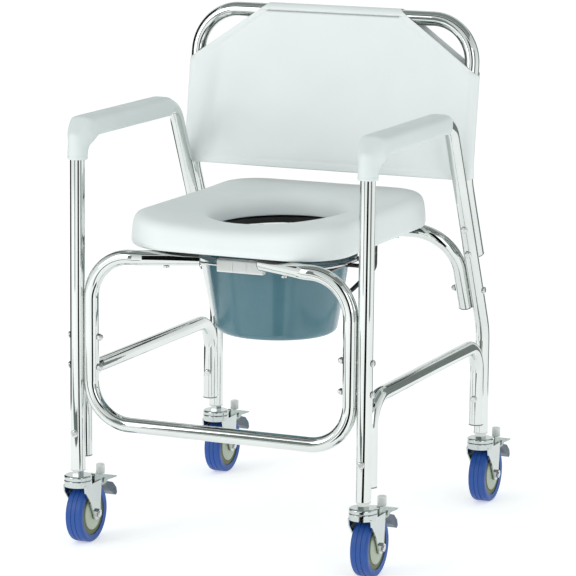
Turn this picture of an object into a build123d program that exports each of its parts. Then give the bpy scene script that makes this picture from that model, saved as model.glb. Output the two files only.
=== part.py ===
"""Wheeled commode chair with a padded seat, sliding pail and four braked casters.

Millimetres. +Z is up, +Y points to the back of the chair and +X to the left hand of a person sitting in it,
who faces -Y. The floor is Z = 0.
"""
from build123d import *
import os
from math import hypot, radians, sin, tan

# ---------------------------------------------------------------- frame tubes
tube_radius = 12.7
tube_wall = 1.6
tube_gap = 0.2
front_leg_y = -322.6
rear_leg_y = 231.4
leg_x = 257.0
leg_bottom_z = 131.4
arm_z = 704.0
arm_back_y = front_leg_y + 368.0
rear_knee_z = 317.0
arm_bend_radius = 50.0
knee_bend_radius = 90.0

loop_x = leg_x - 2 * tube_radius - tube_gap
loop_bottom_z = 215.0
loop_top_z = 497.0
loop_kink_x = 150.0
loop_end_x = 57.0
loop_end_y = front_leg_y + 45.0
loop_bottom_bend = 70.0
loop_top_bend = 72.0
loop_kink_bend = 40.0
rear_loop_end_z = 360.0
rear_loop_bend = 75.0

brace_z = 294.0
brace_end_z = 151.0
brace_bend_radius = 50.0

back_end_z = 447.0
back_knee_z = 602.0
back_top_z = 864.0
back_lean = 0.1357
back_corner_radius = 75.0

# ---------------------------------------------------------------- backrest cover
cover_wall = 1.3
cover_clearance = 0.6
cover_bottom_z = 597.0
cover_top_half_width = 122.0
cover_side_top_z = 776.0

# ---------------------------------------------------------------- arm grips
grip_bottom_z = 653.0
grip_back_y = front_leg_y + 336.0
grip_sleeve_radius = 17.0
grip_bore_radius = 13.0
grip_pad_width = 46.0
grip_pad_bottom_z = 687.5
grip_pad_top_z = 723.0

# ---------------------------------------------------------------- seat
seat_half_width = 194.0
seat_front_y = front_leg_y + 1.0
seat_back_y = front_leg_y + 494.0
seat_front_corner = 92.0
seat_back_corner = 80.0
seat_bottom_z = 510.0
seat_top_z = 570.0
seat_top_edge = 28.0
seat_bottom_edge = 6.0
hole_y = front_leg_y + 236.0
hole_half_width = 108.0
hole_half_length = 136.0
hole_edge = 22.0
hole_lip_z = 524.0
base_thickness = 9.5
base_inset = 12.0
base_hole_margin = 8.0

# ---------------------------------------------------------------- pail, bail and holder
pail_bottom_z = 348.0
pail_bottom_radius = 102.0
pail_top_z = 481.4
pail_top_radius = 124.0
pail_wall = 2.2
pail_edge_radius = 12.0
flange_radius = 136.0
flange_bottom_z = 478.2
ear_x = 139.0
bail_z = 480.5
bail_half_width = 143.5
bail_reach = 149.0
bail_bend = 100.0
wire_radius = 2.2
bail_grip_length = 82.0
bail_grip_height = 22.0
bail_grip_depth = 14.0
rod_radius = 4.0
rail_x = 130.0
rail_z = 474.0
rail_front_y = front_leg_y + 118.0
hanger_y = front_leg_y + 215.0
hanger_x = 165.0
hoop_y = front_leg_y + 356.0
hoop_knee_z = 446.0
hoop_low_z = 400.0
hoop_low_x = 84.0

# ---------------------------------------------------------------- casters
wheel_trail = 30.0
wheel_radius = 50.0
tyre_half_width = 16.0
tyre_inner_radius = 37.5
core_half_width = 12.5
hub_radius = 11.0
hub_half_width = 17.5
guard_radius = 29.0
axle_radius = 4.0
running_gap = 0.06
fork_inner_x = 18.5
fork_plate = 2.5
crown_bottom_z = 102.0
crown_plate = 2.5
head_radius = 23.5
race_split_z = 112.6
head_top_z = 121.0
kingpin_radius = 6.0
stem_radius = 5.5
stem_top_z = 160.0
socket_flange_z = 129.0
pedal_pivot_y = 60.0
pedal_pivot_z = 100.0
pivot_pin_radius = 2.5
screw_y = 83.0

# ---------------------------------------------------------------- fasteners
bolt_radius = 3.0
bolt_head_radius = 6.2
bolt_clearance = 0.1
loop_bolt_heights = (307.6, 358.5)
rear_loop_bolt_z = 392.0
front_brace_bolt_z = 193.0
rear_brace_bolt_z = 197.0
back_bolt_heights = (467.0, 513.0)
seat_screw_radius = 2.4
front_seat_screw_x = 105.0
rear_seat_screw_x = 125.0

slant_run = rear_leg_y - arm_back_y
slant_rise = arm_z - rear_knee_z
slant_length = hypot(slant_run, slant_rise)
slant_y = slant_run / slant_length
slant_z = slant_rise / slant_length
tube_pitch = 2 * tube_radius + tube_gap


def slant_leg_y(z):
    """Y of the sloping part of the rear leg at height z."""
    return rear_leg_y - (z - rear_knee_z) * slant_run / slant_rise


def bent_path(points, radii):
    """Centreline through the points, with an arc of the given radius at each inner corner."""
    corners = [Vector(*point) for point in points]
    edges = []
    start = corners[0]
    for index, radius in enumerate(radii, start=1):
        corner = corners[index]
        back = (corners[index - 1] - corner).normalized()
        ahead = (corners[index + 1] - corner).normalized()
        half_angle = radians(back.get_angle(ahead)) / 2
        arc_start = corner + back * (radius / tan(half_angle))
        arc_end = corner + ahead * (radius / tan(half_angle))
        centre = corner + (back + ahead).normalized() * (radius / sin(half_angle))
        arc_middle = centre + (corner - centre).normalized() * radius
        edges.append(Edge.make_line(start, arc_start))
        edges.append(Edge.make_three_point_arc(arc_start, arc_middle, arc_end))
        start = arc_end
    edges.append(Edge.make_line(start, corners[-1]))
    return Wire(edges)


def swept(profile, path):
    """The profile swept along the path from its start."""
    start_plane = Plane(origin=path @ 0, z_dir=path % 0)
    return sweep(start_plane * profile, path=path)


def tube(path):
    """A round hollow frame tube along the path."""
    return swept(Circle(tube_radius) - Circle(tube_radius - tube_wall), path)


def rod(path, radius):
    """A solid round rod along the path."""
    return swept(Circle(radius), path)


def pin_between(start, end, radius):
    """A solid cylinder from one point to another."""
    first = Vector(*start)
    span = Vector(*end) - first
    return extrude(Plane(origin=first, z_dir=span) * Circle(radius), span.length)


def disc_on_x(radius, x_from, x_to, y, z):
    """A cylinder along X between two x positions."""
    return pin_between((x_from, y, z), (x_to, y, z), radius)


def hex_on_x(flat_radius, x_from, x_to, y, z):
    """A hexagonal prism along X between two x positions."""
    plane = Plane(origin=(x_from, y, z), z_dir=(1, 0, 0))
    return extrude(plane * RegularPolygon(flat_radius, 6), x_to - x_from)


# ---------------------------------------------------------------- bolts
def bolt_places():
    """Every frame bolt as (group, head seat, direction from the head, clamped length)."""
    places = []
    clamped = 4 * tube_radius + tube_gap
    for side in (-1, 1):
        outer = side * (leg_x + tube_radius)
        for z in loop_bolt_heights:
            places.append(("loop", (outer, front_leg_y, z), (-side, 0, 0), clamped))
        rear_y = slant_leg_y(rear_loop_bolt_z)
        places.append(("loop", (outer, rear_y, rear_loop_bolt_z), (-side, 0, 0), clamped))
        front_face = (side * leg_x, front_leg_y - tube_radius, front_brace_bolt_z)
        places.append(("brace", front_face, (0, 1, 0), clamped))
        brace_face = (side * leg_x, rear_leg_y - tube_pitch - tube_radius, rear_brace_bolt_z)
        places.append(("brace", brace_face, (0, 1, 0), clamped))
        for z in back_bolt_heights:
            seat_y = slant_leg_y(z) - slant_z * tube_radius
            seat_z = z - slant_y * tube_radius
            places.append(("back", (side * leg_x, seat_y, seat_z), (0, slant_z, slant_y), clamped))
    return places


def frame_bolt(seat, direction, length):
    """A round-headed bolt whose head sits on the seat point."""
    axis = Vector(*direction)
    first = Vector(*seat)
    shank = extrude(Plane(origin=first, z_dir=axis) * Circle(bolt_radius), length + 5.5)
    head = extrude(Plane(origin=first, z_dir=-axis) * Circle(bolt_head_radius), 3.6)
    head = fillet(head.faces().sort_by(Axis(first, -axis))[-1].edges(), 2.6)
    return shank + head


def cap_nut(seat, direction, length):
    """A domed nut on the far end of a frame bolt."""
    axis = Vector(*direction)
    origin = Vector(*seat) + axis * length
    plane = Plane(origin=origin, z_dir=axis)
    body = extrude(plane * RegularPolygon(6.0, 6), 4.2)
    dome = extrude(plane * Circle(4.9), 8.2)
    dome = fillet(dome.faces().sort_by(Axis(origin, axis))[-1].edges(), 3.6)
    bore = extrude(plane * Circle(bolt_radius + 0.05), 5.9)
    return body + dome - bore


def bolt_hole(seat, direction, length):
    """The clearance hole a frame bolt needs, running past both ends."""
    axis = Vector(*direction)
    start = Vector(*seat) - axis * 2
    return extrude(Plane(origin=start, z_dir=axis) * Circle(bolt_radius + bolt_clearance), length + 4)


def bolts_of(group):
    """The solids of one group of frame bolts."""
    return [frame_bolt(seat, way, length) for name, seat, way, length in bolt_places() if name == group]


def drilled(shape, groups):
    """The shape with the holes of the named bolt groups."""
    for name, seat, way, length in bolt_places():
        if name in groups:
            shape = shape - bolt_hole(seat, way, length)
    return shape


# ---------------------------------------------------------------- frame
def side_frame(side):
    """One bent tube: front leg, arm and rear leg."""
    x = side * leg_x
    points = [
        (x, front_leg_y, leg_bottom_z),
        (x, front_leg_y, arm_z),
        (x, arm_back_y, arm_z),
        (x, rear_leg_y, rear_knee_z),
        (x, rear_leg_y, leg_bottom_z),
    ]
    path = bent_path(points, [arm_bend_radius, arm_bend_radius, knee_bend_radius])
    return drilled(tube(path), ("loop", "brace", "back"))


def side_brace(side):
    """The low inverted U between the front and rear legs of one side."""
    x = side * leg_x
    front = front_leg_y + tube_pitch
    rear = rear_leg_y - tube_pitch
    points = [(x, front, brace_end_z), (x, front, brace_z), (x, rear, brace_z), (x, rear, brace_end_z)]
    return drilled(tube(bent_path(points, [brace_bend_radius, brace_bend_radius])), ("brace",))


def seat_screw_places():
    """Axis (x, y) of each screw that holds the seat to a loop."""
    kink = (loop_kink_x - front_seat_screw_x) / (loop_kink_x - loop_end_x)
    front_y = front_leg_y + kink * (loop_end_y - front_leg_y)
    rear_y = slant_leg_y(loop_top_z)
    return [
        (-front_seat_screw_x, front_y),
        (front_seat_screw_x, front_y),
        (-rear_seat_screw_x, rear_y),
        (rear_seat_screw_x, rear_y),
    ]


def screw_drilled(shape):
    """The shape with the upright holes of the seat screws."""
    for x, y in seat_screw_places():
        low = (x, y, loop_top_z - 20)
        high = (x, y, seat_bottom_z + 9)
        shape = shape - pin_between(low, high, seat_screw_radius + 0.1)
    return shape


def front_seat_loop():
    """The loop between the front legs, open at the top where it carries the seat."""
    half = [
        (loop_end_x, loop_end_y, loop_top_z),
        (loop_kink_x, front_leg_y, loop_top_z),
        (loop_x, front_leg_y, loop_top_z),
        (loop_x, front_leg_y, loop_bottom_z),
    ]
    points = half + [(-x, y, z) for x, y, z in reversed(half)]
    bends = [loop_kink_bend, loop_top_bend, loop_bottom_bend]
    path = bent_path(points, bends + bends[::-1])
    return screw_drilled(drilled(tube(path), ("loop",)))


def rear_seat_loop():
    """The inverted U between the rear legs that carries the back of the seat."""
    low_y = slant_leg_y(rear_loop_end_z)
    top_y = slant_leg_y(loop_top_z)
    points = [
        (loop_x, low_y, rear_loop_end_z),
        (loop_x, top_y, loop_top_z),
        (-loop_x, top_y, loop_top_z),
        (-loop_x, low_y, rear_loop_end_z),
    ]
    path = bent_path(points, [rear_loop_bend, rear_loop_bend])
    return screw_drilled(drilled(tube(path), ("loop",)))


def back_points():
    """Corner points of the right half of the backrest tube, from its lower end up."""
    shift_y = slant_z * tube_pitch
    shift_z = slant_y * tube_pitch
    end = (leg_x, slant_leg_y(back_end_z) + shift_y, back_end_z + shift_z)
    knee = (leg_x, slant_leg_y(back_knee_z - shift_z) + shift_y, back_knee_z)
    top = (leg_x, knee[1] + (back_top_z - back_knee_z) * back_lean, back_top_z)
    return [end, knee, top]


def backrest_tube():
    """The inverted U behind the rear legs that holds the backrest cover."""
    half = back_points()
    points = half + [(-x, y, z) for x, y, z in reversed(half)]
    radii = [knee_bend_radius, back_corner_radius, back_corner_radius, knee_bend_radius]
    return drilled(tube(bent_path(points, radii)), ("back",))


def plug(origin, outward):
    """A push-in plug for an open tube end."""
    plane = Plane(origin=origin, z_dir=outward)
    cap = extrude(plane * Circle(tube_radius), 2.0)
    stub = extrude(plane * Circle(tube_radius - tube_wall - 0.1), -10.0)
    return cap + stub


def tube_plugs():
    """Plugs for the open ends of the loops, the braces and the backrest tube."""
    plugs = []
    loop_way = Vector(loop_end_x - loop_kink_x, loop_end_y - front_leg_y, 0)
    low_y = slant_leg_y(rear_loop_end_z)
    back_end = back_points()[0]
    for side in (-1, 1):
        way = (side * loop_way.X, loop_way.Y, 0)
        plugs.append(plug((side * loop_end_x, loop_end_y, loop_top_z), way))
        plugs.append(plug((side * loop_x, low_y, rear_loop_end_z), (0, slant_y, -slant_z)))
        plugs.append(plug((side * leg_x, back_end[1], back_end[2]), (0, slant_y, -slant_z)))
        for y in (front_leg_y + tube_pitch, rear_leg_y - tube_pitch):
            plugs.append(plug((side * leg_x, y, brace_end_z), (0, 0, -1)))
    return plugs


# ---------------------------------------------------------------- backrest cover
def slot_profile(margin):
    """The section of a sleeve round both uprights of the backrest tube."""
    radius = tube_radius + margin
    ends = Pos(-leg_x, 0) * Circle(radius) + Pos(leg_x, 0) * Circle(radius)
    return Rectangle(2 * leg_x, 2 * radius) + ends


def backrest_cover():
    """A sleeve of vinyl pulled over the backrest tube, open below and at its two cut corners."""
    end, knee, top = back_points()
    centre = [(0, y, z) for x, y, z in (end, knee, top)]
    path = bent_path(centre, [knee_bend_radius])
    start = Plane(origin=path @ 0, x_dir=(1, 0, 0), z_dir=path % 0)
    inner = cover_clearance
    outer = cover_clearance + cover_wall
    sleeve = sweep(start * (slot_profile(outer) - slot_profile(inner)), path=path)
    seam_half = cover_top_half_width + 12
    seam_from = (-seam_half, top[1], top[2])
    seam_to = (seam_half, top[1], top[2])
    roll = pin_between(seam_from, seam_to, tube_radius + outer)
    roll = roll - pin_between(seam_from, seam_to, tube_radius + inner)
    lean_plane = Plane(origin=(0, top[1], top[2]), x_dir=(1, 0, 0), z_dir=(0, back_lean, 1))
    roll = split(roll, bisect_by=lean_plane, keep=Keep.TOP)
    side = leg_x + tube_radius + 6
    roof_z = back_top_z + tube_radius + outer + 2
    outline = [
        (-side, cover_bottom_z),
        (side, cover_bottom_z),
        (side, cover_side_top_z - 5),
        (cover_top_half_width, roof_z - 2),
        (cover_top_half_width, roof_z + 4),
        (-cover_top_half_width, roof_z + 4),
        (-cover_top_half_width, roof_z - 2),
        (-side, cover_side_top_z - 5),
    ]
    keep_plane = Plane(origin=(0, seat_back_y + 90, 0), x_dir=(1, 0, 0), z_dir=(0, -1, 0))
    keep = extrude(keep_plane * make_face(Polyline(*outline, close=True)), 220)
    return (sleeve + roll) & keep


# ---------------------------------------------------------------- arm grips
def arm_grip(side):
    """A moulded grip round the top of the front leg that widens into an arm pad."""
    x = side * leg_x
    points = [(x, front_leg_y, grip_bottom_z), (x, front_leg_y, arm_z), (x, grip_back_y, arm_z)]
    path = bent_path(points, [arm_bend_radius])
    sleeve = rod(path, grip_sleeve_radius)
    pad_height = grip_pad_top_z - grip_pad_bottom_z
    pad_middle_z = (grip_pad_top_z + grip_pad_bottom_z) / 2
    pad_front_y = front_leg_y + 34
    section = RectangleRounded(grip_pad_width, pad_height, 13)
    pad_plane = Plane(origin=(x, pad_front_y, pad_middle_z), x_dir=(1, 0, 0), z_dir=(0, 1, 0))
    pad = extrude(pad_plane * section, grip_back_y - pad_front_y)
    pad = fillet(pad.faces().sort_by(Axis.Y)[0].edges(), 5)
    tunnel_points = [(x, front_leg_y, grip_bottom_z - 5), points[1], (x, grip_back_y + 5, arm_z)]
    tunnel = rod(bent_path(tunnel_points, [arm_bend_radius]), grip_bore_radius)
    return sleeve + pad - tunnel


# ---------------------------------------------------------------- seat
def seat_outline(inset):
    """The seat's plan outline, drawn in by the given inset."""
    half = seat_half_width - inset
    front = seat_front_y + inset
    back = seat_back_y - inset
    front_corner = seat_front_corner - inset
    back_corner = seat_back_corner - inset
    face = make_face(Polyline((-half, front), (half, front), (half, back), (-half, back), close=True))
    corners = face.vertices().sort_by(Axis.Y)
    face = fillet(corners[:2], front_corner)
    corners = [v for v in face.vertices() if v.Y > back - 1]
    return fillet(corners, back_corner)


def seat_hole(margin):
    """The oval opening of the seat, grown by the margin."""
    return Pos(0, hole_y) * Ellipse(hole_half_width + margin, hole_half_length + margin)


def seat_pad():
    """The moulded soft seat with its oval opening and a recess for the base board."""
    height = seat_top_z - seat_bottom_z
    block = extrude(Plane.XY.offset(seat_bottom_z) * seat_outline(0), height)
    block = fillet(block.faces().sort_by(Axis.Z)[-1].edges(), seat_top_edge)
    block = fillet(block.faces().sort_by(Axis.Z)[0].edges(), seat_bottom_edge)
    hole = extrude(Plane.XY.offset(seat_bottom_z) * seat_hole(0), height)
    block = block - hole
    rim = block.faces().sort_by(Axis.Z)[-1].inner_wires()[0].edges()
    block = fillet(rim, hole_edge)
    recess_plane = Plane.XY.offset(seat_bottom_z)
    recess = recess_plane * (seat_outline(base_inset - 0.5) - seat_hole(base_hole_margin - 0.5))
    under_lip = extrude(recess_plane * seat_hole(base_hole_margin), hole_lip_z - seat_bottom_z)
    return block - extrude(recess, base_thickness + 0.3) - under_lip


def seat_base():
    """The board under the seat pad that is screwed to the two loops."""
    sketch = seat_outline(base_inset) - seat_hole(base_hole_margin)
    board = extrude(Plane.XY.offset(seat_bottom_z) * sketch, base_thickness)
    for x, y in holder_screw_places():
        board = board - pin_between((x, y, seat_bottom_z - 1), (x, y, seat_bottom_z + 8), 1.9)
    return screw_drilled(board)


def seat_screw(x, y):
    """A pan-headed screw up through a loop tube into the base board."""
    low = loop_top_z - tube_radius
    head = pin_between((x, y, low - 3.2), (x, y, low), 4.8)
    shank = pin_between((x, y, low - 1), (x, y, seat_bottom_z + 8.5), seat_screw_radius)
    return head + shank


# ---------------------------------------------------------------- pail, bail and holder
def pail():
    """A round tapered pail with a flat rim flange and two ears for the bail."""
    slope = (pail_top_radius - pail_bottom_radius) / (pail_top_z - pail_bottom_z)
    outline = make_face(
        Polyline(
            (0, pail_bottom_z),
            (pail_bottom_radius, pail_bottom_z),
            (pail_top_radius, pail_top_z),
            (0, pail_top_z),
            close=True,
        )
    )
    low_corner = [v for v in outline.vertices() if v.X > 1 and v.Y < pail_bottom_z + 1]
    outer = fillet(low_corner, pail_edge_radius)
    cavity = make_face(
        Polyline(
            (0, pail_bottom_z + pail_wall),
            (pail_bottom_radius + slope * pail_wall - pail_wall, pail_bottom_z + pail_wall),
            (pail_top_radius + slope * 2 - pail_wall, pail_top_z + 2),
            (0, pail_top_z + 2),
            close=True,
        )
    )
    low_corner = [v for v in cavity.vertices() if v.X > 1 and v.Y < pail_bottom_z + pail_wall + 1]
    inner = fillet(low_corner, pail_edge_radius - pail_wall)
    flange = Pos((pail_top_radius - 1 + flange_radius) / 2, (flange_bottom_z + pail_top_z) / 2)
    flange = flange * Rectangle(flange_radius - pail_top_radius + 1, pail_top_z - flange_bottom_z)
    turned = revolve(Plane.XZ * (outer + flange - inner), Axis.Z, 360)
    body = Pos(0, hole_y, 0) * turned
    for side in (-1, 1):
        ear = Pos(side * 136.7, hole_y, bail_z - 0.1) * Box(6.4, 14, 5.6)
        body = body + ear
        body = body - disc_on_x(wire_radius + running_gap, side * 125, side * 145, hole_y, bail_z)
    return body


def bail_wire():
    """The wire handle: a rounded U whose two ends turn inward through the pail's ears."""
    front = hole_y - bail_reach
    points = [
        (ear_x - 4.5, hole_y, bail_z),
        (bail_half_width, hole_y, bail_z),
        (bail_half_width, front, bail_z),
        (-bail_half_width, front, bail_z),
        (-bail_half_width, hole_y, bail_z),
        (-ear_x + 4.5, hole_y, bail_z),
    ]
    corner = wire_radius + 0.3
    return rod(bent_path(points, [corner, bail_bend, bail_bend, corner]), wire_radius)


def bail_grip():
    """The hand grip in three segments on the straight front of the bail."""
    front = hole_y - bail_reach
    centre = (0, front, bail_z)
    block = Pos(*centre) * Box(bail_grip_length, bail_grip_depth, bail_grip_height)
    block = fillet(block.edges().filter_by(Axis.X), 3.5)
    for x in (-12.0, 12.0):
        groove = Box(1.0, bail_grip_depth + 4, bail_grip_height + 4)
        groove = groove - Box(2.0, bail_grip_depth - 1.6, bail_grip_height - 1.6)
        block = block - Pos(x, front, bail_z) * groove
    return block - disc_on_x(wire_radius + 0.1, -60, 60, front, bail_z)


def pail_holder():
    """A welded rod frame under the seat: two rails for the pail's rim and a hoop behind the pail."""
    foot_z = seat_bottom_z - 2
    hoop = [
        (rail_x, hoop_y, foot_z + 1),
        (rail_x, hoop_y, hoop_knee_z),
        (hoop_low_x, hoop_y, hoop_low_z),
        (-hoop_low_x, hoop_y, hoop_low_z),
        (-rail_x, hoop_y, hoop_knee_z),
        (-rail_x, hoop_y, foot_z + 1),
    ]
    frame = rod(bent_path(hoop, [20, 20, 20, 20]), rod_radius)
    for side in (-1, 1):
        x = side * rail_x
        far_x = side * hanger_x
        frame = frame + pin_between((x, rail_front_y, rail_z), (x, hoop_y, rail_z), rod_radius - 0.1)
        frame = frame + pin_between((x, hanger_y, rail_z), (far_x, hanger_y, rail_z), rod_radius - 0.4)
        frame = frame + pin_between((far_x, hanger_y, rail_z - 3), (far_x, hanger_y, foot_z + 1), rod_radius)
        for foot_x, foot_y in ((far_x, hanger_y), (x, hoop_y)):
            frame = frame + Pos(foot_x, foot_y, foot_z + 1) * Box(16, 34, 2)
    for foot_x, foot_y in holder_screw_places():
        frame = frame - pin_between((foot_x, foot_y, foot_z - 2), (foot_x, foot_y, foot_z + 4), 1.9)
    return frame


def holder_screw_places():
    """Axis (x, y) of each screw that holds the pail holder to the base board."""
    places = []
    for side in (-1, 1):
        for x, y in ((side * hanger_x, hanger_y), (side * rail_x, hoop_y)):
            places.append((x, y - 12))
            places.append((x, y + 12))
    return places


def holder_screw(x, y):
    """A small screw up through a foot of the pail holder."""
    low = seat_bottom_z - 2
    head = pin_between((x, y, low - 1.8), (x, y, low), 3.4)
    shank = pin_between((x, y, low - 0.5), (x, y, seat_bottom_z + 7), 1.8)
    return head + shank


# ---------------------------------------------------------------- casters
def caster_socket(x, y):
    """The plastic insert in the end of a leg that takes the caster stem."""
    flange = pin_between((x, y, socket_flange_z), (x, y, leg_bottom_z), tube_radius)
    body = pin_between((x, y, leg_bottom_z - 0.5), (x, y, leg_bottom_z + 34), tube_radius - tube_wall - 0.1)
    bore = pin_between((x, y, socket_flange_z - 1), (x, y, leg_bottom_z + 35), stem_radius + 0.1)
    return flange + body - bore


def caster_stem(x, y):
    """Stem, hexagonal collar, upper bearing cup and kingpin of one caster."""
    stem = pin_between((x, y, head_top_z - 1), (x, y, stem_top_z), stem_radius)
    collar_plane = Plane(origin=(x, y, head_top_z - 1))
    collar = extrude(collar_plane * RegularPolygon(10.5, 6), socket_flange_z - head_top_z + 1)
    cup = pin_between((x, y, race_split_z + 0.3), (x, y, head_top_z), head_radius)
    cup = fillet(cup.edges().group_by(Axis.Z)[-1], 3.0)
    cup = fillet(cup.edges().group_by(Axis.Z)[0], 1.5)
    kingpin = pin_between((x, y, crown_bottom_z - 1), (x, y, race_split_z + 1), kingpin_radius)
    rivet = pin_between((x, y, crown_bottom_z - 3.4), (x, y, crown_bottom_z - 0.6), 8.5)
    return stem + collar + cup + kingpin + rivet


def fork_plate_face():
    """Side view of one fork plate, in Y from the leg axis and Z."""
    top = crown_bottom_z + crown_plate
    outline = Polyline((-15, top), (46, top), (45, 90), (41, 52), (19.5, 46.5), (5, 74), (-12, 92), close=True)
    boss = Pos(wheel_trail, wheel_radius) * Circle(11.5)
    return make_face(outline) + boss


def fork(x, y):
    """The pressed fork with the lower bearing ring on its crown."""
    top = crown_bottom_z + crown_plate
    crown_outline = Circle(head_radius) + Pos(0, 16) * Rectangle(42, 60)
    crown = extrude(Plane.XY.offset(crown_bottom_z) * crown_outline, crown_plate)
    ring = extrude(Plane.XY.offset(top - 0.5) * Circle(head_radius), race_split_z - top + 0.5)
    ring = fillet(ring.edges().group_by(Axis.Z)[-1], 1.5)
    body = crown + ring
    for x_from in (-fork_inner_x - fork_plate, fork_inner_x):
        plane = Plane(origin=(x_from, 0, 0), x_dir=(0, 1, 0), z_dir=(1, 0, 0))
        body = body + extrude(plane * fork_plate_face(), fork_plate)
    body = body - pin_between((0, 0, 90), (0, 0, 120), kingpin_radius + running_gap)
    body = body - disc_on_x(axle_radius + 0.05, -30, 30, wheel_trail, wheel_radius)
    return Pos(x, y, 0) * body


def axle_bolt(x, y):
    """The wheel's axle bolt with its lock nut."""
    outer = fork_inner_x + fork_plate
    shank = disc_on_x(axle_radius, -outer - 1, outer + 6, wheel_trail, wheel_radius)
    head = hex_on_x(7.5, -outer - 6, -outer, wheel_trail, wheel_radius)
    nut = hex_on_x(7.5, outer, outer + 4.8, wheel_trail, wheel_radius)
    return Pos(x, y, 0) * (shank + head + nut)


def brake_plate_top(y):
    """Height of the top of the sloping brake plate at y from the leg axis."""
    return 118.0 - (y - 25.0) * 0.2442


def brake_bracket(x, y):
    """The folded steel bracket behind the fork that carries the brake pedal's pivot pin."""
    side_line = [
        (26, brake_plate_top(26)),
        (26, 104.5),
        (46.5, 104.5),
        (46.5, 97),
        (53, 93),
        (67, 93),
        (75, 97.5),
        (106, 95.2),
        (111, brake_plate_top(111)),
    ]
    under = [
        (20, 100),
        (20, brake_plate_top(20) - 2),
        (120, brake_plate_top(120) - 2),
        (120, 80),
        (20, 80),
    ]
    width = 2 * fork_inner_x
    plane = Plane(origin=(-fork_inner_x, 0, 0), x_dir=(0, 1, 0), z_dir=(1, 0, 0))
    body = extrude(plane * make_face(Polyline(*side_line, close=True)), width)
    inner_plane = Plane(origin=(-fork_inner_x + 2, 0, 0), x_dir=(0, 1, 0), z_dir=(1, 0, 0))
    body = body - extrude(inner_plane * make_face(Polyline(*under, close=True)), width - 4)
    pin_end = fork_inner_x + 2
    pin = disc_on_x(pivot_pin_radius, -pin_end, pin_end, pedal_pivot_y, pedal_pivot_z)
    heads = disc_on_x(4.2, fork_inner_x, pin_end, pedal_pivot_y, pedal_pivot_z)
    heads = heads + disc_on_x(4.2, -pin_end, -fork_inner_x, pedal_pivot_y, pedal_pivot_z)
    body = body - pin_between((0, screw_y, 85), (0, screw_y, 130), 2.7)
    return Pos(x, y, 0) * (body + pin + heads)


def brake_screw(x, y):
    """The brake's adjusting screw with its round plastic knob."""
    seat = brake_plate_top(screw_y) + 1.9
    knob = pin_between((0, screw_y, seat), (0, screw_y, 122), 7.6)
    knob = fillet(knob.edges().group_by(Axis.Z)[-1], 2.5)
    shank = pin_between((0, screw_y, 98), (0, screw_y, seat + 1), 2.5)
    return Pos(x, y, 0) * (knob + shank)


def brake_pedal(x, y):
    """The foot pedal that swings down behind the wheel to lock it."""
    outline = [
        (55.5, 97),
        (60, 105.2),
        (66, 103),
        (76, 94.5),
        (98, 88),
        (112, 76),
        (115, 66),
        (110, 62.5),
        (92, 73),
        (74, 87),
        (63, 94),
    ]
    plane = Plane(origin=(-16, 0, 0), x_dir=(0, 1, 0), z_dir=(1, 0, 0))
    body = extrude(plane * make_face(Polyline(*outline, close=True)), 32)
    body = fillet(body.edges().filter_by(Axis.X).sort_by(Axis.Y)[-4:], 1.8)
    bore = disc_on_x(pivot_pin_radius + running_gap, -20, 20, pedal_pivot_y, pedal_pivot_z)
    return Pos(x, y, 0) * (body - bore)


def spun(face):
    """A face drawn as (radius, x) turned about the wheel axis of a caster at the origin."""
    solid = revolve(Plane.XY * face, Axis.Y, 360)
    turned = Rot(0, 0, -90) * solid
    return Pos(0, wheel_trail, wheel_radius) * turned


def tyre(x, y):
    """The rubber tyre with rounded shoulders and shallow tread grooves."""
    inner = tyre_inner_radius + 0.1
    face = make_face(
        Polyline(
            (inner, -tyre_half_width + 2),
            (wheel_radius, -tyre_half_width),
            (wheel_radius, tyre_half_width),
            (inner, tyre_half_width - 2),
            close=True,
        )
    )
    shoulders = [v for v in face.vertices() if v.X > wheel_radius - 1]
    face = fillet(shoulders, 4.5)
    for groove_x in (-4.0, 4.0):
        face = face - Pos(wheel_radius, groove_x) * Rectangle(1.6, 1.4)
    return Pos(x, y, 0) * spun(face)


def wheel_core(x, y):
    """Hub, web and rim of the wheel in one moulding."""
    bore = axle_radius + running_gap
    hub = Pos((bore + hub_radius) / 2, 0) * Rectangle(hub_radius - bore, 2 * hub_half_width)
    web = Pos((hub_radius + 30) / 2, 0) * Rectangle(30 - hub_radius + 1, 12)
    rim = Pos((29.5 + tyre_inner_radius) / 2, 0) * Rectangle(tyre_inner_radius - 29.5, 2 * core_half_width)
    return Pos(x, y, 0) * spun(hub + web + rim)


def thread_guards(x, y):
    """The two round covers that keep hair and thread out of the hub."""
    guards = []
    for side in (-1, 1):
        line = [
            (hub_radius + 0.05, side * 16.0),
            (22, side * 15.6),
            (guard_radius, side * 13.4),
            (guard_radius, side * 11.6),
            (22, side * 13.4),
            (hub_radius + 0.05, side * 13.8),
        ]
        guards.append(Pos(x, y, 0) * spun(make_face(Polyline(*line, close=True))))
    return guards


casters = {
    "front_left": (leg_x, front_leg_y),
    "front_right": (-leg_x, front_leg_y),
    "rear_left": (leg_x, rear_leg_y),
    "rear_right": (-leg_x, rear_leg_y),
}

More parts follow.
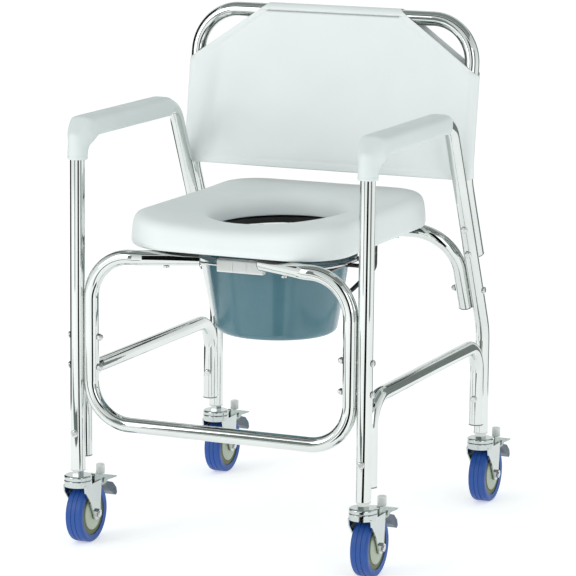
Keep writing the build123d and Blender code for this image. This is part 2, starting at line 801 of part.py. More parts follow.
nodes = {
    "left_side_frame": side_frame(1),
    "right_side_frame": side_frame(-1),
    "left_side_brace": side_brace(1),
    "right_side_brace": side_brace(-1),
    "front_seat_loop": front_seat_loop(),
    "rear_seat_loop": rear_seat_loop(),
    "backrest_tube": backrest_tube(),
    "backrest_cover": backrest_cover(),
    "left_arm_grip": arm_grip(1),
    "right_arm_grip": arm_grip(-1),
    "seat_pad": seat_pad(),
    "seat_base": seat_base(),
    "pail": pail(),
    "bail_wire": bail_wire(),
    "bail_grip": bail_grip(),
    "pail_holder": pail_holder(),
    "loop_bolts": bolts_of("loop"),
    "brace_bolts": bolts_of("brace"),
    "backrest_bolts": bolts_of("back"),
    "cap_nuts": [cap_nut(seat, way, length) for name, seat, way, length in bolt_places()],
    "seat_screws": [seat_screw(x, y) for x, y in seat_screw_places()],
    "holder_screws": [holder_screw(x, y) for x, y in holder_screw_places()],
    "tube_plugs": tube_plugs(),
    "caster_sockets": [caster_socket(x, y) for x, y in casters.values()],
    "caster_stems": [caster_stem(x, y) for x, y in casters.values()],
}
for place, (caster_x, caster_y) in casters.items():
    nodes[place + "_fork"] = fork(caster_x, caster_y)
    nodes[place + "_axle_bolt"] = axle_bolt(caster_x, caster_y)
    nodes[place + "_brake_bracket"] = brake_bracket(caster_x, caster_y)
    nodes[place + "_brake_screw"] = brake_screw(caster_x, caster_y)
    nodes[place + "_brake_pedal"] = brake_pedal(caster_x, caster_y)
    nodes[place + "_tyre"] = tyre(caster_x, caster_y)
    nodes[place + "_wheel_core"] = wheel_core(caster_x, caster_y)
    nodes[place + "_thread_guards"] = thread_guards(caster_x, caster_y)

os.makedirs("parts", exist_ok=True)
for name, shape in nodes.items():
    pieces = shape if isinstance(shape, list) else [shape]
    solids = [solid for piece in pieces for solid in piece.solids()]
    export_step(Compound(children=solids) if len(solids) > 1 else solids[0], "parts/" + name + ".step")
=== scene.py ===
"""Looks of the wheeled commode chair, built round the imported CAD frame. Metres, CAD axes."""
import math

import bmesh
import bpy
from mathutils import Matrix, Vector, noise


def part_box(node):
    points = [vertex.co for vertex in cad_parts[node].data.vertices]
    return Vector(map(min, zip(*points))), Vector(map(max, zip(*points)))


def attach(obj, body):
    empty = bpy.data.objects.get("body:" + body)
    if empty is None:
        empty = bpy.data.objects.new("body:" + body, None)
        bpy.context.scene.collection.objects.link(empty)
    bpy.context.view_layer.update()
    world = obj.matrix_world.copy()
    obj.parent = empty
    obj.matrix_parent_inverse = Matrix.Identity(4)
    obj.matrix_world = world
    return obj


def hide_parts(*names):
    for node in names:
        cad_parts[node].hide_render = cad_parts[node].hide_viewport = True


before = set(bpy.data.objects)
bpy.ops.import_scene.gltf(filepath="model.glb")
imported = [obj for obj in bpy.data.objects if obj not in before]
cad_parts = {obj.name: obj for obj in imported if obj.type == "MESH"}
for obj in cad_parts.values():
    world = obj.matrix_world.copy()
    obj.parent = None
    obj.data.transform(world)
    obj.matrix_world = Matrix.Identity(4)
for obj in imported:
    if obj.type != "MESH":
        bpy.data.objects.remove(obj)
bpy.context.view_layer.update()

PLACES = ("front_left", "front_right", "rear_left", "rear_right")


# ---------------------------------------------------------------- node materials
class Shader:
    """A material with a Principled shader and short calls for its procedural nodes."""

    def __init__(self, name, roughness=0.4, metallic=0.0, **sockets):
        self.material = bpy.data.materials.new(name)
        self.material.use_nodes = True
        self.tree = self.material.node_tree
        self.bsdf = self.tree.nodes["Principled BSDF"]
        self.bsdf.inputs["Roughness"].default_value = roughness
        self.bsdf.inputs["Metallic"].default_value = metallic
        for socket, value in sockets.items():
            self.bsdf.inputs[socket.replace("_", " ")].default_value = value
        self.coords = self.tree.nodes.new("ShaderNodeTexCoord").outputs["Object"]
        self.height = None

    def node(self, kind, **settings):
        made = self.tree.nodes.new(kind)
        for key, value in settings.items():
            setattr(made, key, value)
        return made

    def link(self, source, target):
        self.tree.links.new(source, target)

    def stretched(self, scale):
        """Object coordinates scaled by a different factor on each axis."""
        mapping = self.node("ShaderNodeMapping")
        mapping.inputs["Scale"].default_value = scale
        self.link(self.coords, mapping.inputs["Vector"])
        return mapping.outputs["Vector"]

    def noise(self, scale, detail=3.0, rough=0.5, coords=None):
        made = self.node("ShaderNodeTexNoise")
        made.inputs["Scale"].default_value = scale
        made.inputs["Detail"].default_value = detail
        made.inputs["Roughness"].default_value = rough
        self.link(coords or self.coords, made.inputs["Vector"])
        return made.outputs["Fac"]

    def voronoi(self, scale, coords=None):
        made = self.node("ShaderNodeTexVoronoi")
        made.inputs["Scale"].default_value = scale
        self.link(coords or self.coords, made.inputs["Vector"])
        return made.outputs["Distance"]

    def ramp(self, value, stops):
        """A colour ramp; stops are (position, colour or grey)."""
        made = self.node("ShaderNodeValToRGB")
        elements = made.color_ramp.elements
        while len(elements) < len(stops):
            elements.new(0.5)
        for element, (position, colour) in zip(elements, stops):
            element.position = position
            grey = isinstance(colour, (int, float))
            element.color = (colour, colour, colour, 1) if grey else (*colour, 1)
        self.link(value, made.inputs["Fac"])
        return made.outputs["Color"]

    def colour(self, value, stops):
        self.link(self.ramp(value, stops), self.bsdf.inputs["Base Color"])

    def roughness(self, value, low, high):
        self.link(self.ramp(value, [(0.3, low), (0.7, high)]), self.bsdf.inputs["Roughness"])

    def bump(self, value, strength, distance):
        made = self.node("ShaderNodeBump")
        made.inputs["Strength"].default_value = strength
        made.inputs["Distance"].default_value = distance
        self.link(value, made.inputs["Height"])
        if self.height is not None:
            self.link(self.height, made.inputs["Normal"])
        self.height = made.outputs["Normal"]
        self.link(self.height, self.bsdf.inputs["Normal"])


def chrome(name, tint, low, high, streak):
    """Bright plating with faint drawing lines and a slightly uneven shine."""
    shader = Shader(name, metallic=1.0)
    cloud = shader.noise(9.0, 4.0)
    shader.colour(cloud, [(0.3, tuple(0.93 * c for c in tint)), (0.7, tint)])
    shader.roughness(shader.noise(60.0, 3.0), low, high)
    shader.bump(shader.noise(35.0, 2.0, coords=shader.stretched((4, 4, 0.25))), streak, 0.0004)
    return shader.material


def plated(name, tint, low=0.22, high=0.42):
    """Zinc plating on pressed steel: soft shine with fine speckle."""
    shader = Shader(name, metallic=1.0)
    shader.colour(shader.noise(420.0, 3.0), [(0.3, tuple(0.8 * c for c in tint)), (0.75, tint)])
    shader.roughness(shader.noise(90.0, 4.0), low, high)
    shader.bump(shader.noise(700.0, 2.0), 0.12, 0.0003)
    return shader.material


def plastic(name, tint, low=0.28, high=0.42, grain=900.0, depth=0.12, vary=0.94, **sockets):
    """Moulded plastic with a fine spark-eroded grain and slight colour drift."""
    shader = Shader(name, **sockets)
    shader.colour(shader.noise(14.0, 3.0), [(0.3, tuple(vary * c for c in tint)), (0.7, tint)])
    shader.roughness(shader.noise(40.0, 3.0), low, high)
    shader.bump(shader.noise(grain, 2.0), depth, 0.0003)
    return shader.material


def skin(name, tint, low, high, cell, depth, **sockets):
    """Vinyl or foam skin with a small pebble grain."""
    shader = Shader(name, **sockets)
    shader.colour(shader.noise(7.0, 4.0), [(0.3, tuple(0.96 * c for c in tint)), (0.7, tint)])
    shader.roughness(shader.noise(30.0, 3.0), low, high)
    shader.bump(shader.voronoi(cell), depth, 0.00035)
    shader.bump(shader.noise(cell * 0.25, 3.0), depth * 0.5, 0.0004)
    return shader.material


TUBE = chrome("tube_chrome", (0.76, 0.785, 0.765), 0.02, 0.05, 0.05)
HEAD = chrome("caster_chrome", (0.60, 0.64, 0.63), 0.08, 0.16, 0.08)
ZINC = plated("zinc", (0.46, 0.52, 0.50))
BRIGHT = plated("bright_steel", (0.80, 0.80, 0.79), 0.14, 0.28)
SEAT = skin("seat_skin", (0.80, 0.84, 0.835), 0.42, 0.55, 900.0, 0.10, Subsurface_Weight=0.08)
SEAT.node_tree.nodes["Principled BSDF"].inputs["Subsurface Radius"].default_value = (0.012, 0.012, 0.012)
VINYL = skin("back_vinyl", (0.80, 0.835, 0.83), 0.40, 0.52, 700.0, 0.14)
GRIP = skin("grip_skin", (0.70, 0.755, 0.75), 0.38, 0.52, 1100.0, 0.10)
PAIL = plastic("pail_plastic", (0.085, 0.20, 0.245), 0.16, 0.26, 500.0, 0.05, 0.88, Coat_Weight=0.25)
PALE = plastic("pale_plastic", (0.80, 0.82, 0.80), 0.25, 0.4)
NYLON = plastic("nylon_socket", (0.70, 0.70, 0.64), 0.35, 0.5)
PLUGS = plastic("plug_plastic", (0.16, 0.165, 0.17), 0.4, 0.55)
BLACK = plastic("black_coating", (0.012, 0.012, 0.013), 0.12, 0.25, 500.0, 0.06)
PEDAL = plastic("pedal_paint", (0.012, 0.045, 0.085), 0.22, 0.4, 600.0, 0.1)
TYRE = plastic("tyre_rubber", (0.010, 0.075, 0.34), 0.34, 0.5, 800.0, 0.16, 0.8)
CORE = plastic("core_plastic", (0.10, 0.115, 0.022), 0.32, 0.5)
GUARD = plastic("guard_plastic", (0.42, 0.48, 0.38), 0.32, 0.48)


def painted_shade_board_material():
    """Plywood with a near-black colour that is painted shade for the dark underside of the seat: long grain
    lines that only just show.
    """
    shader = Shader("base_board", roughness=0.5)
    grain = shader.noise(14.0, 6.0, 0.6, shader.stretched((1, 14, 6)))
    # near-black base colour: painted shade for the shaded underside of the seat, with the grain lines on
    # top
    shader.colour(grain, [(0.25, (0.012, 0.012, 0.012)), (0.75, (0.028, 0.026, 0.024))])
    shader.bump(grain, 0.15, 0.0005)
    return shader.material


PAINTED_SHADE_BOARD = painted_shade_board_material()


def give(node, material):
    """Puts the material on a CAD node's slots."""
    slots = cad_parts[node].data.materials
    for index in range(len(slots)):
        slots[index] = material


CAD_LOOKS = {
    "left_side_frame": TUBE,
    "right_side_frame": TUBE,
    "left_side_brace": TUBE,
    "right_side_brace": TUBE,
    "front_seat_loop": TUBE,
    "rear_seat_loop": TUBE,
    "backrest_tube": TUBE,
    "seat_base": PAINTED_SHADE_BOARD,
    "pail": PAIL,
    "bail_wire": BRIGHT,
    "bail_grip": PALE,
    "pail_holder": BLACK,
    "loop_bolts": BRIGHT,
    "brace_bolts": BRIGHT,
    "backrest_bolts": BRIGHT,
    "cap_nuts": BRIGHT,
    "seat_screws": BRIGHT,
    "holder_screws": BRIGHT,
    "tube_plugs": PLUGS,
    "caster_sockets": NYLON,
    "caster_stems": HEAD,
}
CASTER_LOOKS = {
    "fork": HEAD,
    "axle_bolt": BRIGHT,
    "brake_bracket": ZINC,
    "brake_screw": PALE,
    "brake_pedal": PEDAL,
    "tyre": TYRE,
    "wheel_core": CORE,
    "thread_guards": GUARD,
}
for node, material in CAD_LOOKS.items():
    give(node, material)
for place in PLACES:
    for kind, material in CASTER_LOOKS.items():
        give(place + "_" + kind, material)


# ---------------------------------------------------------------- mesh helpers
def make_object(name, points, faces, material, smooth=True):
    mesh = bpy.data.meshes.new(name)
    mesh.from_pydata([tuple(p) for p in points], [], faces)
    mesh.materials.append(material)
    for polygon in mesh.polygons:
        polygon.use_smooth = smooth
    mesh.update()
    made = bpy.data.objects.new(name, mesh)
    bpy.context.scene.collection.objects.link(made)
    return made


def ring_faces(rings, count, closed_rings=False):
    """Quads between rings of the same count of points, each ring closed on itself."""
    faces = []
    last = rings if closed_rings else rings - 1
    for ring in range(last):
        low = ring * count
        high = ((ring + 1) % rings) * count
        for step in range(count):
            after = (step + 1) % count
            faces.append((low + step, low + after, high + after, high + step))
    return faces


def subdivide(piece, levels=1):
    modifier = piece.modifiers.new("smooth", "SUBSURF")
    modifier.levels = levels
    modifier.render_levels = levels
    return piece


def ease(value):
    """Smooth step from 0 to 1."""
    value = max(0.0, min(1.0, value))
    return value * value * (3 - 2 * value)


# ---------------------------------------------------------------- seat
SEAT_COUNT = 192
SEARCH_START = 0.5
SEARCH_END = 1e-6
HOLE_FROM_FRONT = 0.235
HOLE_HALF_WIDTH = 0.108
HOLE_HALF_LENGTH = 0.136
SEAT_FRONT_CORNER = 0.092
SEAT_BACK_CORNER = 0.080
SEAT_DISH = 0.0155
SEAT_DISH_POWER = 1.9
SEAT_RISE_START = 0.30
SEAT_RISE_LENGTH = 0.15


def seat_outline_point(angle, low, high, inward):
    """Point of the rounded seat outline in the direction of angle, drawn in by inward."""
    middle = Vector(((low.x + high.x) / 2, (low.y + high.y) / 2))
    half_x = (high.x - low.x) / 2 - inward
    half_y = (high.y - low.y) / 2 - inward
    way = Vector((math.cos(angle), math.sin(angle)))
    radius = (SEAT_FRONT_CORNER if way.y < 0 else SEAT_BACK_CORNER) - inward
    reach = 0.0
    step = SEARCH_START
    while step > SEARCH_END:
        trial = way * (reach + step)
        corner_x = max(abs(trial.x) - (half_x - radius), 0)
        corner_y = max(abs(trial.y) - (half_y - radius), 0)
        if math.hypot(corner_x, corner_y) <= radius:
            reach += step
        step /= 2
    return middle + way * reach


def hole_point(hole, angle, outward):
    """Point of the oval opening at the angle from its middle, moved outward."""
    return hole + Vector((
        (HOLE_HALF_WIDTH + outward) * math.cos(angle),
        (HOLE_HALF_LENGTH + outward) * math.sin(angle),
    ))


def seat_ring_pair(inward, outward, low, high, hole, count):
    """Pairs of points in line: one on the seat's top edge, one where the opening's roll starts."""
    pairs = []
    for step in range(count):
        turn = 2 * math.pi * step / count
        edge = seat_outline_point(turn, low, high, 0.0)
        angle = math.atan2(edge.y - hole.y, edge.x - hole.x)
        outer = seat_outline_point(turn, low, high, inward)
        pairs.append((outer, hole_point(hole, angle, outward)))
    return pairs


def seat_top(x, y, low, high):
    """Height of the dished top: lowest in front and round the opening, higher at the sides and back."""
    side = abs((2 * x - low.x - high.x) / (high.x - low.x)) ** SEAT_DISH_POWER
    behind = ease((y - low.y - SEAT_RISE_START) / SEAT_RISE_LENGTH)
    return high.z - SEAT_DISH * (1 - min(1.0, side)) * (1 - behind)


def seat_ring(inward, height, low, high, count):
    """Ring that follows the outline; height is above the underside, or below the dished top if negative."""
    ring = []
    for step in range(count):
        edge = seat_outline_point(2 * math.pi * step / count, low, high, inward)
        z = low.z + height if height >= 0 else seat_top(edge.x, edge.y, low, high) + height
        ring.append((edge.x, edge.y, z))
    return ring


def hole_ring(outward, height, low, high, hole, count):
    """Ring round the opening, its points in line with those of the outline; height as in seat_ring."""
    ring = []
    for step in range(count):
        edge = seat_outline_point(2 * math.pi * step / count, low, high, 0.0)
        angle = math.atan2(edge.y - hole.y, edge.x - hole.x)
        rim = hole_point(hole, angle, outward)
        z = low.z + height if height >= 0 else seat_top(rim.x, rim.y, low, high) + height
        ring.append((rim.x, rim.y, z))
    return ring


# The seat's skin as rings, from the recess under it, up the side, over the top and down the opening.
# Each pair is metres from the outline or from the opening's wall, then height: above the underside, or
# below the dished top if negative.
SEAT_SKIRT = (
    (0.0115, 0.0098),
    (0.0112, 0.0004),
    (0.0080, 0.0),
    (0.0044, 0.0006),
    (0.0016, 0.0030),
    (0.0002, 0.0075),
    (0.0, 0.0130),
    (0.0016, -0.0290),
    (0.0025, -0.0210),
    (0.0042, -0.0140),
    (0.0074, -0.0080),
    (0.0122, -0.0037),
    (0.0190, -0.0013),
    (0.0290, -0.0003),
)
SEAT_CROWN = (0.2, 0.4, 0.6, 0.8)
SEAT_ROLL = (
    (0.0300, -0.0002),
    (0.0215, -0.0010),
    (0.0145, -0.0030),
    (0.0090, -0.0062),
    (0.0048, -0.0106),
    (0.0020, -0.0160),
    (0.0005, -0.0220),
    (0.0, 0.0190),
    (0.0, 0.0160),
    (0.0008, 0.0140),
    (0.0030, 0.0140),
    (0.0052, 0.0152),
    (0.0082, 0.0152),
    (0.0090, 0.0098),
)


def build_seat():
    """The moulded seat: nearly upright sides, a dished top and a rolled oval opening with a thin lip."""
    low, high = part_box("seat_pad")
    count = SEAT_COUNT
    hole = Vector((0.0, low.y + HOLE_FROM_FRONT))
    points = []
    for inward, height in SEAT_SKIRT:
        points += seat_ring(inward, height, low, high, count)
    crown = seat_ring_pair(SEAT_SKIRT[-1][0], SEAT_ROLL[0][0], low, high, hole, count)
    for share in SEAT_CROWN:
        for outer, inner in crown:
            spot = outer.lerp(inner, share)
            points.append((spot.x, spot.y, seat_top(spot.x, spot.y, low, high)))
    for outward, height in SEAT_ROLL:
        points += hole_ring(outward, height, low, high, hole, count)
    rings = len(points) // count
    faces = [tuple(reversed(face)) for face in ring_faces(rings, count, closed_rings=True)]
    seat = make_object("seat_cushion", points, faces, SEAT)
    subdivide(seat)
    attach(seat, "chair_frame")
    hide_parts("seat_pad")


build_seat()


# ---------------------------------------------------------------- arm grips
ARM_HEIGHT = 0.704
ELBOW_RADIUS = 0.050
SLEEVE_RADIUS = 0.0168
BORE_RADIUS = 0.0130
PAD_HALF_WIDTH = 0.0228
PAD_RISE = 0.0188
CHAMFER_DISTANCE = 0.0765
GRIP_COUNT = 48
GRIP_TO_LEG = 0.017
NEARLY_LEVEL = 1.5
TONGUE_LENGTH = 0.030
TONGUE_SHARE = 0.64
# The grip's lower end: metres up from its edge, radius.
GRIP_MOUTH = (
    (0.0006, BORE_RADIUS),
    (0.0, 0.0150),
    (0.0008, 0.0168),
    (0.0030, 0.0172),
    (0.0055, 0.0170),
    (0.0080, 0.0163),
)


def elbow_rise(turn):
    """Distance from the tube's centreline to the elbow's outer face, which is chamfered, not round."""
    front = (ELBOW_RADIUS + SLEEVE_RADIUS) / max(math.cos(turn), 0.05)
    top = (ELBOW_RADIUS + PAD_RISE) / max(math.sin(turn), 0.05)
    slope = CHAMFER_DISTANCE / math.cos(turn - math.pi / 4)
    return min(front, top, slope) - ELBOW_RADIUS


def grip_stations(x, leg_y, start, back):
    """Points along the tube under the grip, each with how far the tube has turned from upright."""
    stations = []
    elbow_start = ARM_HEIGHT - ELBOW_RADIUS
    for step in range(6):
        stations.append((Vector((x, leg_y, start + step / 5 * (elbow_start - start))), 0.0))
    for step in range(1, 24):
        turn = math.pi / 2 * step / 24
        y = leg_y + ELBOW_RADIUS * (1 - math.cos(turn))
        z = elbow_start + ELBOW_RADIUS * math.sin(turn)
        stations.append((Vector((x, y, z)), turn))
    reach = back - leg_y - ELBOW_RADIUS
    for step in range(29):
        share = 1 - (1 - step / 28) ** 1.35
        stations.append((Vector((x, leg_y + ELBOW_RADIUS + share * reach, ARM_HEIGHT)), math.pi / 2))
    return stations


def grip_ring(centre, turn, wide, up, down, power):
    """One closed ring round the tube: a superellipse, deeper above than below."""
    outward = Vector((0, -math.cos(turn), math.sin(turn)))
    ring = []
    for step in range(GRIP_COUNT):
        angle = 2 * math.pi * step / GRIP_COUNT
        across = math.copysign(abs(math.cos(angle)) ** (2 / power), math.cos(angle)) * wide
        tall = math.copysign(abs(math.sin(angle)) ** (2 / power), math.sin(angle))
        tall *= up if tall > 0 else down
        ring.append(centre + Vector((across, 0, 0)) + outward * tall)
    return ring


def build_grip(node):
    """The moulded grip: a round sleeve with a flared lip, a chamfered elbow and a flat-topped pad."""
    low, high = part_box(node)
    x = (low.x + high.x) / 2
    leg_y = low.y + GRIP_TO_LEG
    stations = grip_stations(x, leg_y, low.z, high.y)
    first = stations[0][0]
    points = []
    for lift, radius in GRIP_MOUTH:
        points += grip_ring(first + Vector((0, 0, lift)), 0.0, radius, radius, radius, 2)
    end_y = stations[-1][0].y
    for centre, turn in stations[1:]:
        swell = ease((math.degrees(turn) - 22) / 26)
        pad = ease((math.degrees(turn) - 30) / 40)
        left = end_y - centre.y
        tongue = 1.0
        if turn > NEARLY_LEVEL and left < TONGUE_LENGTH:
            round_end = math.sqrt(max(0.0, 1 - (1 - left / TONGUE_LENGTH) ** 2))
            tongue = round_end * (1 - TONGUE_SHARE) + TONGUE_SHARE
        wide = (SLEEVE_RADIUS + (PAD_HALF_WIDTH - SLEEVE_RADIUS) * swell) * tongue
        up = elbow_rise(turn) if turn > 0 else SLEEVE_RADIUS
        if turn > NEARLY_LEVEL:
            up = PAD_RISE - 0.0042 * ease(1 - left / 0.022)
        down = SLEEVE_RADIUS - 0.0004 * pad
        points += grip_ring(centre, turn, wide, up, down, 2 + 1.5 * pad * ease(left / 0.012))
    last, turn = stations[-1]
    points += grip_ring(last, turn, 0.0138, 0.0136, 0.0150, 2)
    points += grip_ring(last - Vector((0, 0.0008, 0)), turn, BORE_RADIUS, BORE_RADIUS, BORE_RADIUS, 2)
    for centre, turn in reversed(stations[1:-1]):
        points += grip_ring(centre, turn, BORE_RADIUS, BORE_RADIUS, BORE_RADIUS, 2)
    faces = ring_faces(len(points) // GRIP_COUNT, GRIP_COUNT, closed_rings=True)
    grip = make_object(node + "_pad", points, faces, GRIP)
    subdivide(grip)
    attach(grip, "chair_frame")
    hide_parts(node)


for side in ("left", "right"):
    build_grip(side + "_arm_grip")


# ---------------------------------------------------------------- backrest cover
COVER_WALL = 0.0013
COVER_RADIUS = 0.01395
POST_X = 0.257
LEAN = math.atan(0.1357)
KNEE_RADIUS = 0.090
CUT_SLOPE = 1.4284
CUT_COSINE = 0.5735
CUT_X = 0.2757
CUT_RISE = 0.174
BEND_DROP = 0.2352
HEM = 0.011
HEM_LIFT = 0.0006
HEM_GROOVE = 0.0009
SLACK = 0.0026
RIPPLE = 0.0009
REAR_SHARE = 0.6
COVER_COLUMNS = 132
ROW = 0.0052
HEM_ROW = 0.0022
HEM_ROWS_TO = 0.018
TURN_STEPS = 16
# Soft folds that run up from the lower corners: side, depth, lean, reach.
FOLDS = ((-1, 0.0052, 0.30, 0.20), (1, 0.0030, 0.22, 0.15))


class Back:
    """The leaning plane of the backrest tube, which bends at a knee near the cover's lower edge."""

    def __init__(self):
        cover_low, cover_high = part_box("backrest_cover")
        self.bottom = cover_low.z
        self.top = cover_high.z - COVER_RADIUS - COVER_WALL / 2
        self.top_y = cover_high.y - COVER_RADIUS - COVER_WALL / 2
        self.cut_z = self.bottom + CUT_RISE
        self.bend_z = self.top - BEND_DROP
        hub_y = self.line_y(self.bend_z) + KNEE_RADIUS * math.cos(LEAN)
        self.hub = Vector((0, hub_y, self.bend_z - KNEE_RADIUS * math.sin(LEAN)))

    def line_y(self, z):
        return self.top_y - (self.top - z) * math.tan(LEAN)

    def centre(self, z):
        """Centre of the tube plane at height z and its forward normal."""
        if z >= self.bend_z:
            return Vector((0, self.line_y(z), z)), Vector((0, -math.cos(LEAN), math.sin(LEAN)))
        rise = z - self.hub.z
        y = self.hub.y - math.sqrt(KNEE_RADIUS**2 - rise**2)
        spot = Vector((0, y, z))
        return spot, (spot - self.hub).normalized()

    def reach(self, z):
        """Half-width of the cover at height z, cut off at the two upper corners."""
        return CUT_X - max(0.0, z - self.cut_z) * CUT_SLOPE


def wrapped(width):
    """Sideways place of a point width along the cloth from the middle, and its share of the radius."""
    past = abs(width) - POST_X
    if past <= 0:
        return width, 1.0
    turn = past / COVER_RADIUS
    return math.copysign(POST_X + COVER_RADIUS * math.sin(turn), width), math.cos(turn)


def cloth_width(reach):
    """Length of cloth from the middle out to the sideways reach, round the post if it gets there."""
    if reach <= POST_X:
        return reach
    return POST_X + COVER_RADIUS * math.asin(min(1.0, (reach - POST_X) / COVER_RADIUS))


def cover_lift(back, x, z, front):
    """How far the cloth stands out from its smooth shape: hems, slack between the posts and soft folds."""
    free = ease((0.243 - abs(x)) / 0.030)
    above = z - back.bottom
    edge = (back.reach(z) - abs(x)) * CUT_COSINE if z > back.cut_z else 1.0
    lift = 0.0
    for gap in (above, edge):
        lift += HEM_LIFT * (1 - ease((gap - HEM) / 0.0025)) * free
        lift -= HEM_GROOVE * math.exp(-(((gap - HEM - 0.0015) / 0.0016) ** 2)) * free
    span = (z - back.bottom) / (back.top - back.bottom)
    span = min(1.0, max(0.0, span))
    lift -= SLACK * free * (1 - (x / 0.26) ** 2) * math.sin(math.pi * span * 0.9)
    for side, depth, lean, reach in FOLDS:
        line = side * (0.232 - lean * above * 0.5)
        fade = ease(above / 0.018) * (1 - ease((above - reach * 0.3) / reach))
        lift -= depth * fade * math.exp(-(((x - line) / 0.017) ** 2)) * free
    ripple = noise.noise(Vector((x * 9, z * 14, 3.0 if front else 8.0)))
    return lift + RIPPLE * ripple * free


def build_cover():
    """The vinyl sleeve: one strip up the front, over the tube and down the back, joined at the sides."""
    back = Back()
    columns = COVER_COLUMNS
    heights = [back.bottom + 0.0008]
    while heights[-1] < back.top - 0.004:
        near_hem = heights[-1] < back.bottom + HEM_ROWS_TO
        heights.append(heights[-1] + (HEM_ROW if near_hem else ROW))
    heights.append(back.top)
    rows = []
    for z in heights:
        rows.append((z, 1.0, None))
    for step in range(1, TURN_STEPS):
        rows.append((back.top, None, math.pi * step / TURN_STEPS))
    for z in reversed(heights):
        rows.append((z, -1.0, None))
    points = []
    for z, side, turn in rows:
        for column in range(columns + 1):
            share = 2 * column / columns - 1
            if turn is None:
                spot, normal = back.centre(z)
                width = cloth_width(back.reach(z + side * normal.z * COVER_RADIUS)) * share
                x, part = wrapped(width)
                lift = cover_lift(back, x, z, side > 0) * part
                if side < 0:
                    lift *= REAR_SHARE
                place = spot + normal * side * (COVER_RADIUS * part + lift)
                place.x = x
            else:
                spot, normal = back.centre(back.top)
                upward = Vector((0, math.sin(LEAN), math.cos(LEAN)))
                out = normal * math.cos(turn) + upward * math.sin(turn)
                place = spot + out * COVER_RADIUS
                place.x = back.reach(place.z) * share
            points.append(place)
    faces = []
    for row in range(len(rows) - 1):
        for column in range(columns):
            at = row * (columns + 1) + column
            above = at + columns + 1
            faces.append((at, at + 1, above + 1, above))
    cover = make_object("backrest_sleeve", points, faces, VINYL)
    shape = bmesh.new()
    shape.from_mesh(cover.data)
    bmesh.ops.remove_doubles(shape, verts=shape.verts, dist=0.0002)
    bmesh.ops.recalc_face_normals(shape, faces=shape.faces)
    shape.to_mesh(cover.data)
    shape.free()
    wall = cover.modifiers.new("wall", "SOLIDIFY")
    wall.thickness = COVER_WALL
    wall.offset = 0.0
    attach(cover, "chair_frame")
    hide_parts("backrest_cover")


build_cover()


# ---------------------------------------------------------------- camera, light and floor
SKY_STRENGTH = 1.02
FLOOR_GLOW = 0.42
KEY_POWER = 30
FILL_POWER = 8
CAMERA_PLACE = (2.090, -4.9156, 1.387)
CAMERA_LENS = 197.7
FLOOR_REACH = 40.0
FLOOR_CARD_Z = 0.001


def set_camera():
    """The photograph's viewpoint: long lens, well above the seat, from the sitter's front left."""
    azimuth = math.radians(23.20)
    elevation = math.radians(10.41)
    roll = math.radians(0.60)
    back = Vector((
        math.sin(azimuth) * math.cos(elevation),
        -math.cos(azimuth) * math.cos(elevation),
        math.sin(elevation),
    ))
    right = Vector((math.cos(azimuth), math.sin(azimuth), 0))
    up = back.cross(right)
    right, up = (
        math.cos(roll) * right + math.sin(roll) * up,
        -math.sin(roll) * right + math.cos(roll) * up,
    )
    camera = bpy.data.cameras.new("camera")
    camera.lens = CAMERA_LENS
    camera.sensor_width = 36.0
    camera.clip_end = 200.0
    holder = bpy.data.objects.new("camera", camera)
    bpy.context.scene.collection.objects.link(holder)
    turn = Matrix((right, up, back)).transposed().to_4x4()
    holder.matrix_world = Matrix.Translation(CAMERA_PLACE) @ turn
    bpy.context.scene.camera = holder


def area_light(name, place, target, size, power):
    light = bpy.data.lights.new(name, "AREA")
    light.shape = "RECTANGLE"
    light.size = size[0]
    light.size_y = size[1]
    light.energy = power
    made = bpy.data.objects.new(name, light)
    bpy.context.scene.collection.objects.link(made)
    made.location = place
    made.rotation_euler = (Vector(target) - Vector(place)).to_track_quat("-Z", "Y").to_euler()
    return made


def stage_card(name, corners, material):
    """A card that only shows in shiny surfaces, as a dark or grey streak."""
    card = make_object(name, corners, [(0, 1, 2, 3)], material)
    card.visible_camera = False
    card.visible_diffuse = False
    card.visible_shadow = False
    card.visible_transmission = False


def upright_card(name, place, facing, width, bottom, top, material):
    """A card that stands at place, square to the compass direction facing, in degrees."""
    turn = math.radians(facing)
    across = Vector((math.cos(turn), math.sin(turn), 0)) * width / 2
    foot = Vector((place[0], place[1], bottom))
    lift = Vector((0, 0, top - bottom))
    stage_card(name, [foot - across, foot + across, foot + across + lift, foot - across + lift], material)


def level_card(name, corners, z, material):
    """A card that lies flat at height z over the given corners."""
    stage_card(name, [(x, y, z) for x, y in corners], material)


def card_material(name, low, high):
    shader = Shader(name, roughness=1.0)
    shader.bsdf.inputs["Specular IOR Level"].default_value = 0.0
    shader.colour(shader.noise(2.0, 1.0), [(0.3, low), (0.7, high)])
    return shader.material


def set_floor():
    shader = Shader("floor", roughness=0.95, Emission_Strength=FLOOR_GLOW)
    shader.bsdf.inputs["Emission Color"].default_value = (1, 1, 1, 1)
    shader.bsdf.inputs["Specular IOR Level"].default_value = 0.0
    shader.colour(shader.noise(0.8, 2.0), [(0.3, 0.90), (0.7, 0.92)])
    size = FLOOR_REACH
    corners = [(-size, -size, 0), (size, -size, 0), (size, size, 0), (-size, size, 0)]
    make_object("floor", corners, [(0, 1, 2, 3)], shader.material)


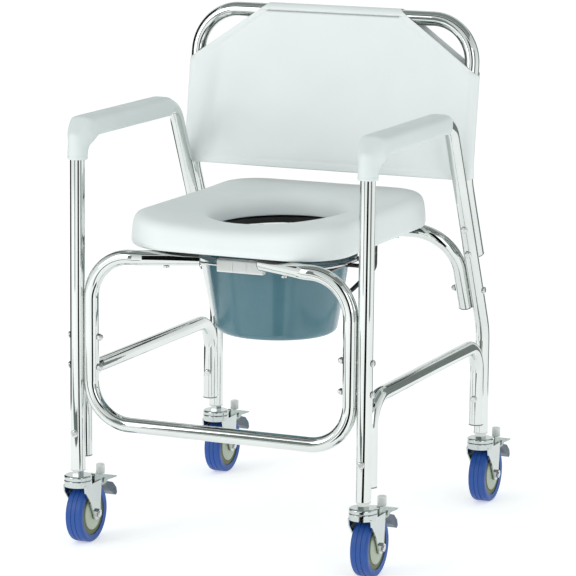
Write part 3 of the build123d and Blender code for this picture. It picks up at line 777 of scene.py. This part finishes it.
def set_cards():
    """Cards that draw the dark and grey lines along the plated tubes."""
    dark = card_material("card", 0.004, 0.008)
    grey = card_material("grey_card", (0.20, 0.22, 0.21), (0.24, 0.26, 0.25))
    upright_card("card_side", (2.4, -0.9), 70, 0.9, 0.0, 2.0, grey)
    upright_card("card_near_left", (-0.9, -2.6), -20, 0.55, 0.0, 2.0, grey)
    upright_card("card_front", (1.00, -1.96), 27, 0.80, 0.0, 2.2, dark)
    wedge = [(0.15, -0.63), (0.31, -0.55), (1.36, -1.78), (0.64, -2.14)]
    level_card("card_floor", wedge, FLOOR_CARD_Z, dark)
    upright_card("card_left", (-1.25, -0.03), -106, 1.0, 0.0, 1.8, dark)
    upright_card("card_back", (0.74, 1.0), 160, 0.62, 0.0, 1.5, grey)
    upright_card("card_far", (0.0, 2.2), 180, 4.5, 1.30, 1.50, dark)
    above = [(-1.8, -1.5), (1.8, -1.5), (1.8, -0.95), (-1.8, -0.95)]
    level_card("card_above", above, 2.5, dark)
    over = [(-2.0, -0.8), (2.0, -0.8), (2.0, 1.4), (-2.0, 1.4)]
    level_card("card_over", over, 2.7, grey)
    strip = [(-1.6, -1.35), (0.1, -1.35), (0.1, -1.05), (-1.6, -1.05)]
    level_card("card_strip", strip, FLOOR_CARD_Z, grey)


def set_sky():
    """A sky that is brighter low down than overhead."""
    world = bpy.data.worlds.new("world")
    world.use_nodes = True
    nodes = world.node_tree.nodes
    links = world.node_tree.links
    coords = nodes.new("ShaderNodeTexCoord")
    split = nodes.new("ShaderNodeSeparateXYZ")
    sky = nodes.new("ShaderNodeValToRGB")
    sky.color_ramp.elements[0].position = 0.05
    sky.color_ramp.elements[0].color = (0.97, 1.0, 0.995, 1)
    sky.color_ramp.elements[1].position = 0.95
    sky.color_ramp.elements[1].color = (0.52, 0.56, 0.56, 1)
    links.new(coords.outputs["Generated"], split.inputs["Vector"])
    links.new(split.outputs["Z"], sky.inputs["Fac"])
    links.new(sky.outputs["Color"], nodes["Background"].inputs["Color"])
    nodes["Background"].inputs["Strength"].default_value = SKY_STRENGTH
    bpy.context.scene.world = world


def set_stage():
    """White floor, cards for the plating, two soft lights and the sky."""
    set_floor()
    set_cards()
    area_light("key", (-2.2, -3.2, 1.9), (0, 0, 0.45), (1.8, 2.2), KEY_POWER)
    area_light("fill", (2.6, -2.4, 1.5), (0, 0, 0.4), (1.4, 2.0), FILL_POWER)
    set_sky()
    bpy.context.scene.view_settings.view_transform = "Standard"


set_camera()
set_stage()
